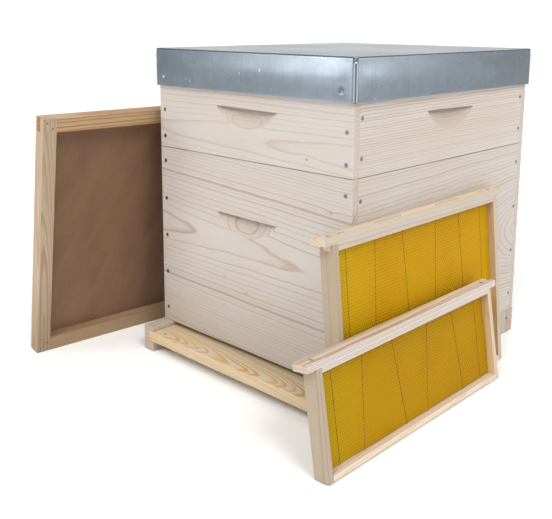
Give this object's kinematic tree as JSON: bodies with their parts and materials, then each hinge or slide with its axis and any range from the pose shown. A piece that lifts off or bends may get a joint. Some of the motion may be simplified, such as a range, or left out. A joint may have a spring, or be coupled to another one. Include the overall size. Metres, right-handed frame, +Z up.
{
  "type": "dadant beehive",
  "caption": "Wooden beehive on a slatted floor: deep brood box, shallow honey super with scooped grips, folded sheet roof, and a crown board and frames leaning beside it.",
  "frame": {"origin": "on the ground, under the middle of the boxes", "axes": "+X to the right of the entrance side, +Y from the entrance to the back, +Z up"},
  "size_m": [0.6619, 0.7064, 0.536],
  "materials": {
    "box_wood": "planed pale spruce, unpainted",
    "deck_wood": "planed pine with bold yellow grain",
    "frame_wood": "planed pale pine",
    "plywood": "reddish brown plywood face",
    "wax": "embossed yellow wax",
    "galvanised_sheet": "galvanised, faintly mottled",
    "screw_steel": "dull zinc plated",
    "bright_steel": "bright drawn wire and strip"
  },
  "bodies": {
    "floor": {"floor_runner_left": "box_wood", "floor_runner_right": "box_wood", "landing_board": "deck_wood", "floor_board_1": "deck_wood", "floor_board_2": "deck_wood", "floor_board_3": "deck_wood", "floor_rear_bar": "box_wood", "floor_rear_foot": "box_wood", "floor_screws": "screw_steel"},
    "brood_box": {"brood_front_board": "box_wood", "brood_back_board": "box_wood", "brood_left_board": "box_wood", "brood_right_board": "box_wood", "brood_rest_front": "bright_steel", "brood_rest_back": "bright_steel", "brood_screws": "screw_steel"},
    "brood_frames": {"brood_top_bars": "frame_wood", "brood_side_bars": "frame_wood", "brood_bottom_bars": "frame_wood", "brood_foundations": "wax"},
    "super": {"super_front_board": "box_wood", "super_back_board": "box_wood", "super_left_board": "box_wood", "super_right_board": "box_wood", "super_rest_front": "bright_steel", "super_rest_back": "bright_steel", "super_screws": "screw_steel"},
    "super_frames": {"super_top_bars": "frame_wood", "super_side_bars": "frame_wood", "super_bottom_bars": "frame_wood", "super_foundations": "wax"},
    "roof": {"roof_sheet": "galvanised_sheet"},
    "crown_board": {"crown_panel": "plywood", "crown_stile_near": "box_wood", "crown_stile_far": "box_wood", "crown_rail_bottom": "box_wood", "crown_rail_top": "box_wood", "crown_nails": "screw_steel"},
    "leaning_brood_frame": {"brood_frame_top_bar": "frame_wood", "brood_frame_side_bar_near": "frame_wood", "brood_frame_side_bar_far": "frame_wood", "brood_frame_bottom_bar": "frame_wood", "brood_frame_foundation": "wax", "brood_frame_wires": "bright_steel", "brood_frame_staples": "bright_steel"},
    "leaning_super_frame": {"super_frame_top_bar": "frame_wood", "super_frame_side_bar_near": "frame_wood", "super_frame_side_bar_far": "frame_wood", "super_frame_bottom_bar": "frame_wood", "super_frame_foundation": "wax", "super_frame_wires": "bright_steel", "super_frame_staples": "bright_steel"}
  },
  "joints": [
    {"name": "brood_box_lift", "type": "slide", "parent": "floor", "child": "brood_box", "axis": [0, 0, 1], "range_m": [0, 0.15]},
    {"name": "brood_frames_lift", "type": "slide", "parent": "brood_box", "child": "brood_frames", "axis": [0, 0, 1], "range_m": [0, 0.006]},
    {"name": "super_lift", "type": "slide", "parent": "brood_box", "child": "super", "axis": [0, 0, 1], "range_m": [0, 0.2]},
    {"name": "super_frames_lift", "type": "slide", "parent": "super", "child": "super_frames", "axis": [0, 0, 1], "range_m": [0, 0.006]},
    {"name": "roof_lift", "type": "slide", "parent": "super", "child": "roof", "axis": [0, 0, 1], "range_m": [0, 0.2]},
    {"name": "crown_board_lift", "type": "slide", "parent": "floor", "child": "crown_board", "axis": [-0.5, 0, 0.866], "range_m": [0, 0.35]},
    {"name": "leaning_brood_frame_lift", "type": "slide", "parent": "floor", "child": "leaning_brood_frame", "axis": [0.5, 0, 0.866], "range_m": [0, 0.35]},
    {"name": "leaning_super_frame_lift", "type": "slide", "parent": "leaning_brood_frame", "child": "leaning_super_frame", "axis": [0.5, 0, 0.866], "range_m": [0, 0.35]}
  ]
}
